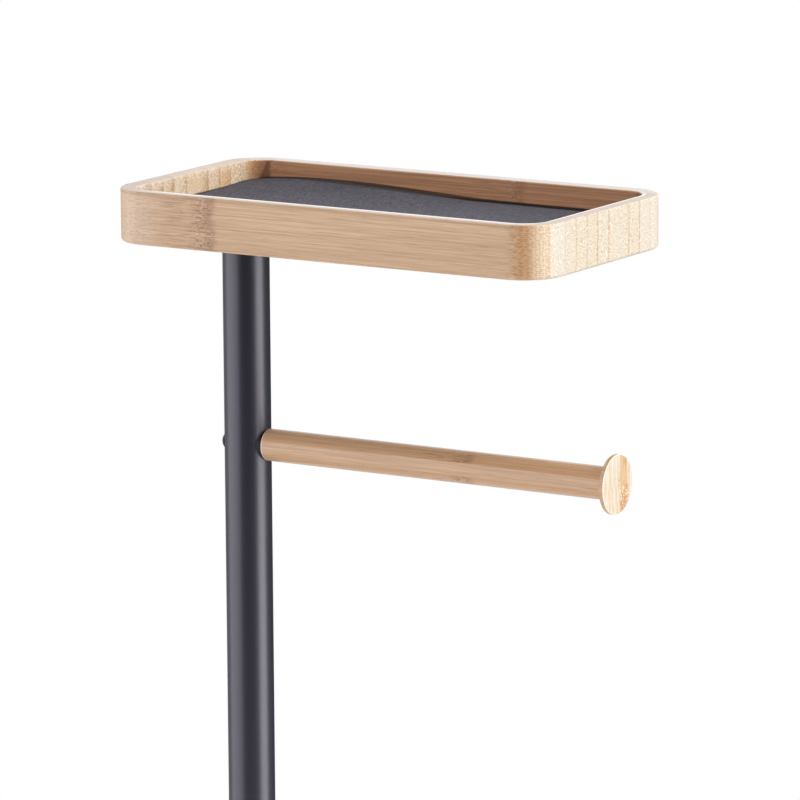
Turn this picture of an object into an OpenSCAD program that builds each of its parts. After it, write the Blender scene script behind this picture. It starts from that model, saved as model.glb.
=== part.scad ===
// Free-standing toilet roll holder: a bamboo tray with a loose mat on a slim steel post, and two
// bamboo arms, one above the other. +X runs along the arms, +Y away from the viewer, +Z up.
// The origin is on the floor, under the middle of the base plate.

/* [Tray] */
// Length of the tray, along the arms
tray_w = 168; // [150:1:180]
// Depth of the tray, front to back
tray_d = 88; // [74:1:110]
// Height of the tray
tray_h = 18; // [16:0.5:30]
// Thickness of the tray's rim
tray_wall = 5.5; // [4:0.5:8]
// Thickness of the board under the pocket
tray_floor = 8.5; // [8:0.5:10]
// Radius of the tray's corners, seen from above
tray_corner_r = 14; // [10:0.5:24]
// Rounding of the tray's lower edge
tray_low_edge_r = 2; // [0.5:0.5:3.5]
// Easing of the rim's outer upper edge
tray_top_edge_r = 0.5; // [0.2:0.1:1.5]
// From the tray's left end to the middle of the post
tray_post_inset = 27.5; // [24:0.5:40]

/* [Mat] */
// Thickness of the mat
mat_t = 1.8; // [1:0.1:3]
// Gap between the mat and the rim
mat_side_gap = 0.9; // [0.4:0.1:3]

/* [Post] */
// Outer diameter of the post's tubes
tube_d = 16; // [14:0.5:20]
// Wall of the post's tubes
tube_wall = 1.5; // [1:0.1:2]
// From the middle of the lower arm down to the joint between the two tubes
joint_below_arm = 51; // [34:1:120]
// Length of the lower tube
lower_tube_len = 321; // [200:1:400]
// Diameter of the flange under the tray
flange_d = 32; // [30:1:44]
// Thickness of the flange under the tray
flange_t = 3; // [2:0.5:5]
// Length of the plugs and sockets pressed into the tubes
plug_len = 25; // [22:1:30]

/* [Arms] */
// Diameter of an arm
arm_d = 11; // [10:0.5:13]
// Diameter of the disc at an arm's end
arm_disc_d = 20; // [16:0.5:28]
// Thickness of the disc
arm_disc_t = 1.6; // [1:0.1:3]
// Hollow rounding between an arm and the back of its disc
arm_fillet_r = 1.3; // [0.5:0.1:1.4]
// From the middle of the post to the face of the disc
arm_reach = 144; // [120:1:150]
// From the underside of the tray down to the middle of the upper arm
arm_drop = 73; // [64:1:80]
// From the middle of one arm to the middle of the other
arm_pitch = 200; // [130:1:240]
// Least thickness of the spacer between a tube and an arm
saddle_t = 0.3; // [0.3:0.1:2]
// How much smaller the spacer's radius is than the arm's
saddle_step = 0.8; // [0.2:0.1:1]

/* [Base] */
// Length of the base plate, along the arms
base_w = 190; // [186:1:240]
// Depth of the base plate, front to back
base_d = 140; // [120:1:200]
// Thickness of the base plate
base_t = 6; // [6:0.5:10]
// Radius of the base plate's corners, seen from above
base_corner_r = 20; // [8:1:40]
// Rounding of the base plate's upper edge
base_top_edge_r = 1.5; // [0.5:0.5:3]
// From the base plate's left end to the middle of the post
base_post_inset = 35; // [28:1:50]
// Depth of the round seat that the post stands in
post_seat_depth = 1.5; // [1:0.1:1.5]
// Diameter of a rubber foot where it meets the plate
foot_d = 16; // [10:1:24]
// Height of a rubber foot
foot_h = 2.5; // [1.5:0.5:6]
// From the plate's sides to the middle of a foot
foot_inset = 20; // [14:1:30]

/* [Screws] */
// Thread diameter of the tray screw
tray_screw_d = 6; // [5:0.5:6]
// How far the tray screw runs into the flange
tray_screw_bite = 16.5; // [12:0.5:20]
// Outer diameter of the cup washer under the tray screw
cup_washer_d = 18; // [16:0.5:20]
// Thickness of the cup washer
cup_washer_t = 3.5; // [3.5:0.1:4]
// Thread diameter of the stud between the tubes and of the bolt in the base
bolt_d = 8; // [6:0.5:8]
// Length of the stud between the tubes
stud_len = 32; // [24:1:40]
// How far the base bolt runs into the post
base_bolt_bite = 20.5; // [14:0.5:21]
// Thread diameter of an arm screw
arm_screw_d = 4; // [3:0.5:5]
// Diameter of an arm screw's head
arm_screw_head_d = 6.6; // [6.2:0.1:8.4]
// Height of an arm screw's head
arm_screw_head_h = 1.9; // [1.7:0.1:2.6]
// How far an arm screw runs into its insert
arm_screw_bite = 8.7; // [6:0.1:9]
// Outer diameter of the brass insert in an arm
insert_d = 6.5; // [6:0.1:8]
// Length of the brass insert in an arm
insert_len = 12; // [10:0.5:16]

/* [Hidden] */
$fn = 96;

// Colours, as red, green and blue shares
bamboo_shares = [0.80, 0.66, 0.52];
mat_shares = [0.33, 0.32, 0.35];
steel_shares = [0.27, 0.27, 0.31];
zinc_shares = [0.68, 0.69, 0.70];
brass_shares = [0.76, 0.62, 0.32];
rubber_shares = [0.10, 0.10, 0.11];

// Clearances and small sizes that have no range of their own
overrun = 1;               // how far a cut runs past the face that it opens
mat_rest_gap = 0.2;        // under the mat
seat_gap = 0.1;            // round a piece that drops into a recess
hole_gap = 0.2;            // round a screw in a plain hole
pin_end_gap = 0.3;         // above the locating pin
head_rim_t = 0.3;          // straight rim of a countersunk head
countersunk_share = 2;     // head diameter over thread diameter
pin_d = 3;
pin_rise = 5;              // of the locating pin into the tray
key_share = 0.62;          // key width over thread diameter
key_depth_share = 0.4;     // key depth over thread diameter
bolt_key_depth = 3;        // key socket in each end of the stud and in the base bolt
tube_edge_r = 0.4;         // easing of the tubes' ends
foot_taper = 0.5;          // how much a foot's radius shrinks towards the floor
base_low_edge_r = 0.5;

// Heights, from the floor up to the tray and then down to the arms
upper_tube_len = arm_drop - flange_t + arm_pitch + joint_below_arm;
base_bottom_z = foot_h;
base_top_z = base_bottom_z + base_t;
post_bottom_z = base_top_z - post_seat_depth;
joint_z = post_bottom_z + lower_tube_len;
post_top_z = joint_z + upper_tube_len;
tray_bottom_z = post_top_z + flange_t;
tray_floor_z = tray_bottom_z + tray_floor;
tray_top_z = tray_bottom_z + tray_h;
upper_arm_z = tray_bottom_z - arm_drop;
lower_arm_z = upper_arm_z - arm_pitch;

// Places along and across
post_x = base_post_inset - base_w / 2;
tray_x = post_x - tray_post_inset + tray_w / 2;
foot_x = base_w / 2 - foot_inset;
foot_y = base_d / 2 - foot_inset;
pin_x = (tube_d + flange_d) / 4;

// Radii and lengths worked out from the sizes above
tube_r = tube_d / 2;
bore_r = tube_r - tube_wall;
arm_r = arm_d / 2;
arm_start = tube_r + saddle_t;
arm_len = arm_reach - arm_start;
pocket_corner_r = tray_corner_r - tray_wall;
mat_inset = tray_wall + mat_side_gap;
tray_screw_len = tray_floor + tray_screw_bite;
base_bolt_len = base_t - post_seat_depth + base_bolt_bite;
arm_screw_len = tube_d + saddle_t + arm_screw_bite;

// Half of the upright section of a slab, with its lower and upper outer corners rounded
module slab_profile(half, h, low_r, top_r) {
    difference() {
        square([half, h]);
        translate([half - low_r, 0]) square([low_r, low_r]);
        translate([half - top_r, h - top_r]) square([top_r, top_r]);
    }
    translate([half - low_r, low_r]) intersection() {
        circle(low_r);
        translate([0, -low_r]) square([low_r, low_r]);
    }
    translate([half - top_r, h - top_r]) intersection() {
        circle(top_r);
        square([top_r, top_r]);
    }
}

// A run of that section, both halves, along X
module slab_run(run, width, h, low_r, top_r) {
    translate([-run / 2, 0, 0]) rotate([90, 0, 90]) linear_extrude(run) {
        slab_profile(width / 2, h, low_r, top_r);
        mirror([1, 0]) slab_profile(width / 2, h, low_r, top_r);
    }
}

// A slab with round corners in plan and rounded lower and upper edges, its underside at z = 0
module eased_slab(w, d, h, corner_r, low_r, top_r) {
    slab_run(w - 2 * corner_r, d, h, low_r, top_r);
    rotate([0, 0, 90]) slab_run(d - 2 * corner_r, w, h, low_r, top_r);
    for (sx = [-1, 1], sy = [-1, 1])
        translate([sx * (w / 2 - corner_r), sy * (d / 2 - corner_r), 0])
            rotate_extrude() slab_profile(corner_r, h, low_r, top_r);
}

// A plain slab with round corners in plan, its underside at z = 0
module plain_slab(w, d, h, corner_r) {
    translate([corner_r - w / 2, -d / 2, 0]) cube([w - 2 * corner_r, d, h]);
    translate([-w / 2, corner_r - d / 2, 0]) cube([w, d - 2 * corner_r, h]);
    for (sx = [-1, 1], sy = [-1, 1])
        translate([sx * (w / 2 - corner_r), sy * (d / 2 - corner_r), 0])
            cylinder(h = h, r = corner_r);
}

// A countersunk head on a shank, standing on its tip at z = 0, its flat top at z = len
module countersunk(d, len) {
    head_r = d * countersunk_share / 2;
    cone_h = head_r - d / 2;
    difference() {
        union() {
            cylinder(h = len - head_rim_t, d = d);
            translate([0, 0, len - head_rim_t - cone_h]) cylinder(h = cone_h, r1 = d / 2, r2 = head_r);
            translate([0, 0, len - head_rim_t]) cylinder(h = head_rim_t, r = head_r);
        }
        translate([0, 0, len - d * key_depth_share]) key_socket(d, d * key_depth_share + overrun);
    }
}

// The room that a countersunk head takes, its flat top at z = 0, with a plain hole of length run below
module countersink(d, run) {
    head_r = d * countersunk_share / 2;
    hole_r = d / 2 + hole_gap;
    translate([0, 0, -head_rim_t]) cylinder(h = head_rim_t + overrun, r = head_r);
    translate([0, 0, -head_rim_t - head_r + hole_r]) cylinder(h = head_r - hole_r, r1 = hole_r, r2 = head_r);
    translate([0, 0, -run]) cylinder(h = run, r = hole_r);
}

// A six-sided key socket, opening upwards from z = 0
module key_socket(d, depth) {
    cylinder(h = depth, d = d * key_share / cos(30), $fn = 6);
}

// Puts its children on the arm's axis at height z, with their own +Z along +X from the post
module along_arm(z, start = 0) {
    translate([post_x + start, 0, z]) rotate([0, 90, 0]) children();
}

module tray() {
    color(bamboo_shares) difference() {
        translate([tray_x, 0, tray_bottom_z])
            eased_slab(tray_w, tray_d, tray_h, tray_corner_r, tray_low_edge_r, tray_top_edge_r);
        translate([tray_x, 0, tray_floor_z])
            plain_slab(tray_w - 2 * tray_wall, tray_d - 2 * tray_wall,
                       tray_h - tray_floor + overrun, pocket_corner_r);
        translate([post_x, 0, tray_floor_z - cup_washer_t])
            cylinder(h = cup_washer_t + overrun, d = cup_washer_d + 2 * seat_gap);
        translate([post_x, 0, tray_bottom_z - overrun])
            cylinder(h = tray_floor + overrun, r = tray_screw_d / 2 + hole_gap);
        translate([post_x + pin_x, 0, tray_bottom_z - overrun])
            cylinder(h = overrun + pin_rise + pin_end_gap, d = pin_d);
    }
}

module tray_mat() {
    color(mat_shares)
        translate([tray_x, 0, tray_floor_z + mat_rest_gap])
            plain_slab(tray_w - 2 * mat_inset, tray_d - 2 * mat_inset, mat_t, tray_corner_r - mat_inset);
}

module tray_screw() {
    color(zinc_shares)
        translate([post_x, 0, tray_floor_z - tray_screw_len]) countersunk(tray_screw_d, tray_screw_len);
}

module tray_cup_washer() {
    color(zinc_shares) translate([post_x, 0, tray_floor_z]) difference() {
        translate([0, 0, -cup_washer_t]) cylinder(h = cup_washer_t, d = cup_washer_d);
        countersink(tray_screw_d, cup_washer_t + overrun);
    }
}

module tray_locating_pin() {
    color(zinc_shares) translate([post_x + pin_x, 0, post_top_z]) cylinder(h = flange_t + pin_rise, d = pin_d);
}

module post_top_flange() {
    color(zinc_shares) difference() {
        union() {
            translate([post_x, 0, post_top_z]) cylinder(h = flange_t, d = flange_d);
            translate([post_x, 0, post_top_z - plug_len]) cylinder(h = plug_len, r = bore_r);
        }
        translate([post_x, 0, post_top_z - plug_len - overrun])
            cylinder(h = plug_len + flange_t + 2 * overrun, d = tray_screw_d);
        translate([post_x + pin_x, 0, post_top_z - overrun])
            cylinder(h = flange_t + 2 * overrun, d = pin_d);
    }
}

// A post tube from z = 0 to z = len, with its outer edges eased
module tube_blank(len) {
    rotate_extrude() difference() {
        slab_profile(tube_r, len, tube_edge_r, tube_edge_r);
        translate([0, -overrun]) square([bore_r, len + 2 * overrun]);
    }
}

// The plain hole through both walls of a tube for an arm's screw
module arm_screw_hole(z) {
    along_arm(z, -tube_d) cylinder(h = 2 * tube_d, r = arm_screw_d / 2 + hole_gap);
}

module upper_tube() {
    color(steel_shares) difference() {
        translate([post_x, 0, joint_z]) tube_blank(upper_tube_len);
        arm_screw_hole(upper_arm_z);
        arm_screw_hole(lower_arm_z);
    }
}

module lower_tube() {
    color(steel_shares) translate([post_x, 0, post_bottom_z]) tube_blank(lower_tube_len);
}

// A threaded plug that fills the end of a tube, its lower end at height z
module plug(z) {
    color(zinc_shares) translate([post_x, 0, z]) difference() {
        cylinder(h = plug_len, r = bore_r);
        translate([0, 0, -overrun]) cylinder(h = plug_len + 2 * overrun, d = bolt_d);
    }
}

module joint_stud() {
    color(zinc_shares) translate([post_x, 0, joint_z - stud_len / 2]) difference() {
        cylinder(h = stud_len, d = bolt_d);
        translate([0, 0, stud_len - bolt_key_depth]) key_socket(bolt_d, bolt_key_depth + overrun);
        translate([0, 0, -overrun]) key_socket(bolt_d, bolt_key_depth + overrun);
    }
}

module base_plate() {
    color(steel_shares) difference() {
        translate([0, 0, base_bottom_z])
            eased_slab(base_w, base_d, base_t, base_corner_r, base_low_edge_r, base_top_edge_r);
        translate([post_x, 0, post_bottom_z])
            cylinder(h = post_seat_depth + overrun, r = tube_r + seat_gap);
        translate([post_x, 0, base_bottom_z]) mirror([0, 0, 1]) countersink(bolt_d, base_t + overrun);
    }
}

module base_bolt() {
    color(zinc_shares)
        translate([post_x, 0, base_bottom_z + base_bolt_len]) mirror([0, 0, 1]) countersunk(bolt_d, base_bolt_len);
}

// A rubber foot, at the left or right (sx) and the front or rear (sy)
module foot(sx, sy) {
    color(rubber_shares)
        translate([sx * foot_x, sy * foot_y, 0]) cylinder(h = foot_h, r1 = foot_d / 2 - foot_taper, r2 = foot_d / 2);
}

// A turned dowel that ends in a disc, with a hollow rounding behind the disc
module arm(z) {
    disc_back = arm_len - arm_disc_t;
    color(bamboo_shares) along_arm(z, arm_start) difference() {
        rotate_extrude() {
            square([arm_r, arm_len]);
            translate([0, disc_back]) square([arm_disc_d / 2, arm_disc_t]);
            difference() {
                translate([0, disc_back - arm_fillet_r]) square([arm_r + arm_fillet_r, arm_fillet_r]);
                translate([arm_r + arm_fillet_r, disc_back - arm_fillet_r]) circle(arm_fillet_r);
            }
        }
        translate([0, 0, -overrun]) cylinder(h = insert_len + overrun, d = insert_d);
    }
}

module arm_insert(z) {
    color(brass_shares) along_arm(z, arm_start) difference() {
        cylinder(h = insert_len, d = insert_d);
        translate([0, 0, -overrun]) cylinder(h = insert_len + 2 * overrun, d = arm_screw_d);
    }
}

// A button-headed screw that comes in from the post's far side
module arm_screw(z) {
    dome_r = (pow(arm_screw_head_d / 2, 2) + pow(arm_screw_head_h, 2)) / (2 * arm_screw_head_h);
    color(steel_shares) along_arm(z, -tube_r) difference() {
        union() {
            cylinder(h = arm_screw_len, d = arm_screw_d);
            translate([0, 0, -arm_screw_head_h]) intersection() {
                translate([0, 0, dome_r]) sphere(dome_r);
                cylinder(h = arm_screw_head_h, d = arm_screw_head_d);
            }
        }
        translate([0, 0, -arm_screw_head_h - overrun])
            key_socket(arm_screw_d, overrun + arm_screw_d * key_depth_share);
    }
}

// A spacer that fits the tube's round wall on one side and the arm's flat end on the other
module arm_saddle(z) {
    color(rubber_shares) difference() {
        along_arm(z) cylinder(h = arm_start, r = arm_r - saddle_step);
        translate([post_x, 0, z - arm_d]) cylinder(h = 2 * arm_d, r = tube_r);
        along_arm(z) cylinder(h = arm_start + overrun, r = arm_screw_d / 2 + hole_gap);
    }
}

tray();
tray_mat();
tray_screw();
tray_cup_washer();
tray_locating_pin();
post_top_flange();
upper_tube();
plug(joint_z);  // upper_tube_socket
joint_stud();
plug(joint_z - plug_len);  // lower_tube_socket
lower_tube();
plug(post_bottom_z);  // post_foot_plug
base_plate();
base_bolt();
foot(-1, -1);  // foot_front_left
foot(1, -1);  // foot_front_right
foot(-1, 1);  // foot_rear_left
foot(1, 1);  // foot_rear_right
arm(upper_arm_z);  // upper_arm
arm_insert(upper_arm_z);  // upper_arm_insert
arm_screw(upper_arm_z);  // upper_arm_screw
arm_saddle(upper_arm_z);  // upper_arm_saddle
arm(lower_arm_z);  // lower_arm
arm_insert(lower_arm_z);  // lower_arm_insert
arm_screw(lower_arm_z);  // lower_arm_screw
arm_saddle(lower_arm_z);  // lower_arm_saddle
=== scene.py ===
"""A free-standing toilet roll holder: bamboo tray with a loose felt mat, dark steel post, two bamboo arms.

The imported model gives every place. Lengths here are in metres, and the finishes work in millimetres.
"""

import math

import bmesh
import bpy
from mathutils import Matrix, Vector


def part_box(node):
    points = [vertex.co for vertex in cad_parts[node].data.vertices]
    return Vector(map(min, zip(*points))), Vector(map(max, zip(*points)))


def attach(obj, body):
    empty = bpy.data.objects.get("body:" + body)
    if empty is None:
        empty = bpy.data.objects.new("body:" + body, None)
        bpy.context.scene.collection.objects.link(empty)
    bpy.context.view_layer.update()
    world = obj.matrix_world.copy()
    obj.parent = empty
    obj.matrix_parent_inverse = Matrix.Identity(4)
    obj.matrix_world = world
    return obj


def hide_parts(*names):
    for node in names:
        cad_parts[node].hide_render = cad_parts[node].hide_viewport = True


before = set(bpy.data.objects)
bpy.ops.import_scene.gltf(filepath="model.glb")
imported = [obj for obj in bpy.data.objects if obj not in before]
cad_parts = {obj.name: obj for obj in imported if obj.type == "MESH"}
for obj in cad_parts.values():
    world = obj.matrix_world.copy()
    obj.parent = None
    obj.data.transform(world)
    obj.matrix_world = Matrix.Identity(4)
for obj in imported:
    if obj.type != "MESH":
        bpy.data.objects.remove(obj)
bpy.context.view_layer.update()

MM = 0.001
X_AXIS = Matrix.Rotation(math.pi / 2, 4, "Y")
SHARP_ANGLE = math.radians(38)

# Places that several pieces share
tray_lo, tray_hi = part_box("tray")
mat_lo, mat_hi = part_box("tray_mat")
upper_lo, upper_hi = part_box("upper_tube")
POST_X = (upper_lo.x + upper_hi.x) / 2
AT_POST = Matrix.Translation((POST_X, 0, 0))
TUBE_R = (upper_hi.x - upper_lo.x) / 2
BORE_R = TUBE_R - 1.5 * MM
PIN_D = 3 * MM
SCREW_HOLE_R = 2.2 * MM
RIM_W, TRAY_CORNER_R = 5.5 * MM, 14 * MM
MAT_CORNER_R, MAT_EDGE_R = 7.6 * MM, 0.35 * MM
ARM_HEIGHTS = [(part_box(node)[0].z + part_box(node)[1].z) / 2 for node in ("upper_arm", "lower_arm")]

# The mat's curled rear edge: where it stands highest, by how much, its run to each side and how it falls
CURL_X, CURL_RISE, CURL_LEFT, CURL_RIGHT = POST_X + 4 * MM, 2.4 * MM, 38 * MM, 65 * MM
CURL_POWER = 1.2

# The mat's painted shade along its edges: its attribute, and the attribute's values where the shade starts
# and stops fading
EDGE_ATTRIBUTE, EDGE_DARK, EDGE_CLEAR = "from_edge", 0.35, 0.75


def linear(red, green, blue):
    """A colour given as 0 to 255 on screen, as the linear values that a shader takes."""
    shares = [v / 255 for v in (red, green, blue)]
    return tuple(((s + 0.055) / 1.055) ** 2.4 if s > 0.04 else s / 12.92 for s in shares) + (1.0,)


# Node graphs, for finishes and for geometry


class Wire:
    """An output of a node that can stand in a sum."""

    def __init__(self, graph, socket):
        self.graph = graph
        self.socket = socket

    def math(self, operation, *others):
        return self.graph.math(operation, self, *others)

    def __add__(self, other):
        return self.math("ADD", other)

    def __radd__(self, other):
        return self.graph.math("ADD", other, self)

    def __sub__(self, other):
        return self.math("SUBTRACT", other)

    def __rsub__(self, other):
        return self.graph.math("SUBTRACT", other, self)

    def __mul__(self, other):
        return self.math("MULTIPLY", other)

    def __rmul__(self, other):
        return self.graph.math("MULTIPLY", other, self)

    def __truediv__(self, other):
        return self.math("DIVIDE", other)

    def __abs__(self):
        return self.math("ABSOLUTE")


class Graph:
    """A node tree that is written as Python expressions."""

    def __init__(self, tree):
        self.tree = tree

    def add(self, kind, settings=None, sockets=None, out=0):
        """A new node with its settings and its sockets' values or links, as the wire of one output."""
        node = self.tree.nodes.new(kind)
        for key, value in (settings or {}).items():
            if key == "stops":
                set_stops(node.color_ramp, value)
            elif key == "curve":
                set_curve(node.mapping, value)
            else:
                setattr(node, key, value)
        for key, value in (sockets or {}).items():
            if isinstance(value, Wire):
                self.tree.links.new(value.socket, node.inputs[key])
            else:
                node.inputs[key].default_value = value
        return Wire(self, node.outputs[out]) if node.outputs else None

    def math(self, operation, *values):
        return self.add("ShaderNodeMath", {"operation": operation}, dict(enumerate(values)))

    def split(self, vector):
        node = self.add("ShaderNodeSeparateXYZ", None, {0: vector}).socket.node
        return [Wire(self, out) for out in node.outputs]

    def join(self, x, y, z):
        return self.add("ShaderNodeCombineXYZ", None, {0: x, 1: y, 2: z})

    def fade(self, value, start, end, low=0.0, high=1.0):
        """A smooth step from low, where value is start, to high, where it is end."""
        settings = {"interpolation_type": "SMOOTHSTEP", "clamp": True}
        return self.add("ShaderNodeMapRange", settings, {0: value, 1: start, 2: end, 3: low, 4: high})


def distance(x, y):
    """The length of a flat vector from its two parts."""
    return (x * x + y * y).math("SQRT")


def set_stops(ramp, stops):
    """Gives a ramp its interpolation and its (place, brightness) stops."""
    ramp.interpolation, places = stops
    while len(ramp.elements) < len(places):
        ramp.elements.new(1.0)
    for element, (place, value) in zip(ramp.elements, places):
        element.position = place
        element.color = (value, value, value, 1.0)


def set_curve(mapping, points):
    """Gives a float curve its corner points."""
    curve = mapping.curves[0]
    while len(curve.points) < len(points):
        curve.points.new(1.0, 1.0)
    for point, place in zip(curve.points, points):
        point.location = place
        point.handle_type = "VECTOR"
    mapping.update()


class Finish(Graph):
    """One material: a Principled shader and what varies over its surface."""

    def __init__(self, name, **constants):
        self.material = bpy.data.materials.new(name)
        self.material.use_nodes = True
        super().__init__(self.material.node_tree)
        self.tree.nodes.clear()
        shader = self.add("ShaderNodeBsdfPrincipled")
        self.add("ShaderNodeOutputMaterial", None, {"Surface": shader})
        self.shader = shader.socket.node
        for key, value in constants.items():
            self.shader.inputs[key.replace("_", " ")].default_value = value

    def place(self):
        """The point on the piece, in millimetres."""
        here = self.add("ShaderNodeTexCoord", out="Object")
        return [axis * (1 / MM) for axis in self.split(here)]

    def facing(self):
        """The direction that the surface faces."""
        return self.split(self.add("ShaderNodeTexCoord", out="Normal"))

    def noise(self, x, y, z, detail=2.0, roughness=0.5, distortion=0.0):
        """Soft noise from 0 to 1 whose features are about one unit across."""
        sockets = {"Vector": self.join(x, y, z), "Scale": 1.0, "Detail": detail,
                   "Roughness": roughness, "Distortion": distortion}
        return self.add("ShaderNodeTexNoise", None, sockets, "Fac")

    def grain(self, size, *character):
        """Noise whose features are size mm across, the same in every direction."""
        return self.noise(*[axis / size for axis in self.place()], *character)

    def cells(self, x, y, z, randomness=1.0):
        """The distance to the nearest of scattered points, about one unit apart."""
        sockets = {"Vector": self.join(x, y, z), "Scale": 1.0, "Randomness": randomness}
        return self.add("ShaderNodeTexVoronoi", None, sockets, "Distance")

    def chance(self, whole, seed):
        """A random number from 0 to 1 for each whole number."""
        return self.add("ShaderNodeTexWhiteNoise", {"noise_dimensions": "1D"}, {"W": whole + seed}, "Value")

    def mix(self, share, first, second):
        settings = {"data_type": "RGBA", "clamp_factor": True}
        return self.add("ShaderNodeMix", settings, {0: share, 6: first, 7: second}, 2)

    def overlay(self, colour, *layers):
        """A colour under layers, each a share and a tint of 0 to 255 on screen, the last one on top."""
        for share, tint in layers:
            colour = self.mix(share, colour, linear(*tint))
        return colour

    def shade(self, colour, brightness):
        """A colour made brighter or darker by a number."""
        return self.add("ShaderNodeVectorMath", {"operation": "SCALE"}, {0: colour, "Scale": brightness})

    def bump(self, height, depth):
        """A surface normal from a height of 0 to 1 and its depth in metres."""
        return self.add("ShaderNodeBump", None, {"Height": height, "Distance": depth, "Strength": 1.0})

    def wear(self, **varied):
        """Links what varies over the surface to the shader's sockets, and gives the material."""
        for key, wire in varied.items():
            self.tree.links.new(wire.socket, self.shader.inputs[key.replace("_", " ")])
        return self.material


# Bamboo


class Board:
    """Where a point of laminated bamboo is: its place, how it faces, its strip, and its place in the strip.

    The fibres run along X. The glue lines are planes across Y, but for a slight slant, and each strip has
    its own random shift.
    """

    def __init__(self, f, looks, seed):
        self.f, self.looks, self.seed = f, looks, seed
        self.x, self.y, self.z = f.place()
        self.nx, self.ny, self.nz = f.facing()

        # How far in from the tray's sides, below its top and above the mat the point is
        self.from_left, self.from_front = self.x - tray_lo.x / MM, self.y - tray_lo.y / MM
        self.from_rear, self.below_top = tray_hi.y / MM - self.y, tray_hi.z / MM - self.z
        self.over_mat = self.z - mat_hi.z / MM

        # The patterns of the cut ends change this slowly along the fibres
        self.along = self.x / 60

        lines, node_step, node_pitch, most_shift = looks["lines"], 0.57083, 250, 40
        self.count, self.span = len(lines) - 1, lines[-1] - lines[0]
        corners = [((line - lines[0]) / self.span, k / self.count) for k, line in enumerate(lines)]
        wobble = (f.noise(self.x / 90, self.z / 9, seed) - 0.5) * 0.4 - self.x * looks["slant"]
        across = {"Value": (self.y + wobble - lines[0]) / self.span}
        self.strip = f.add("ShaderNodeFloatCurve", {"curve": corners}, across) * self.count
        self.index = self.strip.math("FLOOR")
        self.inside = self.strip - self.index
        self.shift = f.chance(self.index, seed) * most_shift
        node_x = ((self.index * node_step + looks["node_start"]).math("FRACT") - 0.5) * node_pitch
        self.past_node = self.x - node_x

        # How far the surface cuts the fibres, and which side of the object it is on
        self.slant = abs(self.nx) / distance(self.nx, self.ny).math("MAXIMUM", 0.15)
        self.to_right = f.fade(self.from_left, 27.5, 127.5)
        self.outer_left = f.fade(self.nx, -0.02, -0.5) * (1 - self.to_right)
        self.depth = depth_in_outline(self.x, self.y)
        rim_w = RIM_W / MM
        self.in_pocket = f.fade(self.depth, rim_w - 0.5, rim_w - 0.1) * f.fade(self.nz, 0.5, 0.1)

    def pick(self, whole, values):
        """The value for a whole number, from a list."""
        stops = [(k / len(values), value) for k, value in enumerate(values)]
        return self.f.add("ShaderNodeValToRGB", {"stops": ("CONSTANT", stops)},
                          {"Fac": (whole + 0.5) / len(values)})

    def of_strip(self, key):
        """What the looks list for this strip."""
        return self.pick(self.index, self.looks[key])

    def fibre(self, length, width, **noise):
        """Noise that is stretched along the fibres, its features of a length and a width in mm."""
        return self.f.noise(self.x / length, self.y / width + self.shift, self.z / width, **noise)

    def glue(self):
        """The glue lines, each of its own strength and broken up into dots."""
        f = self.f
        from_line = self.inside.math("MINIMUM", 1 - self.inside) * (self.span / self.count)
        gaps = f.fade(f.noise(self.x / 3, self.y / 3, self.z / 0.8), 0.36, 0.58, 0.30, 1.0)
        strength = self.pick(self.strip.math("ROUND"), self.looks["line_strengths"])
        return f.fade(from_line, 0.75, 0.20) * strength * gaps


def depth_in_outline(x, y):
    """How far a point is inside the tray's rounded outline, in mm."""
    middle, half, r = (tray_lo + tray_hi) / 2 / MM, (tray_hi - tray_lo) / 2 / MM, TRAY_CORNER_R / MM
    past_x = abs(x - middle.x) - (half.x - r)
    past_y = abs(y - middle.y) - (half.y - r)
    round_a_corner = distance(past_x.math("MAXIMUM", 0), past_y.math("MAXIMUM", 0))
    return r - round_a_corner - past_x.math("MAXIMUM", past_y).math("MINIMUM", 0)


def side_grain(board):
    """Bamboo along its fibres, as its colour, its streaks and its hollows."""
    f, past = board.f, board.past_node
    broad = f.fade(board.fibre(150, 3.2), 0.30, 0.70)
    streak = f.fade(board.fibre(60, 0.60, detail=3.0, roughness=0.6), 0.36, 0.66)
    thread = f.fade(board.fibre(30, 0.34, roughness=0.6), 0.38, 0.64)
    hair = f.fade(board.fibre(9, 0.24, roughness=0.6), 0.56, 0.72)

    # Left of the node the threads break up into dashes, and the wood browns
    near = f.fade(past, -34, -6) * f.fade(past, 5.0, -1.0)
    dash = f.fade(board.fibre(6.5, 0.30, detail=1.0), 0.52, 0.66) * (0.15 + near)
    short = f.fade(board.fibre(2.2, 0.40, detail=1.0), 0.50, 0.62)
    short = short * f.fade(board.from_left, 23.5, 11.5)

    colour = f.overlay(
        f.mix(board.of_strip("side_tones"), *board.looks["side"]),
        (broad * 0.50, (212, 175, 141)),
        (streak * 0.38, (190, 149, 114)),
        (thread * 0.34, (166, 124, 90)),
        (hair * 0.34, (146, 104, 72)),
        (near * 0.14, (184, 142, 110)),
        (dash * 0.46, (142, 100, 70)),
        (short * 0.70, (154, 116, 86)))
    colour, pits = node_marks(board, colour)
    return colour, streak, pits + 0.5 * thread


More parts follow.
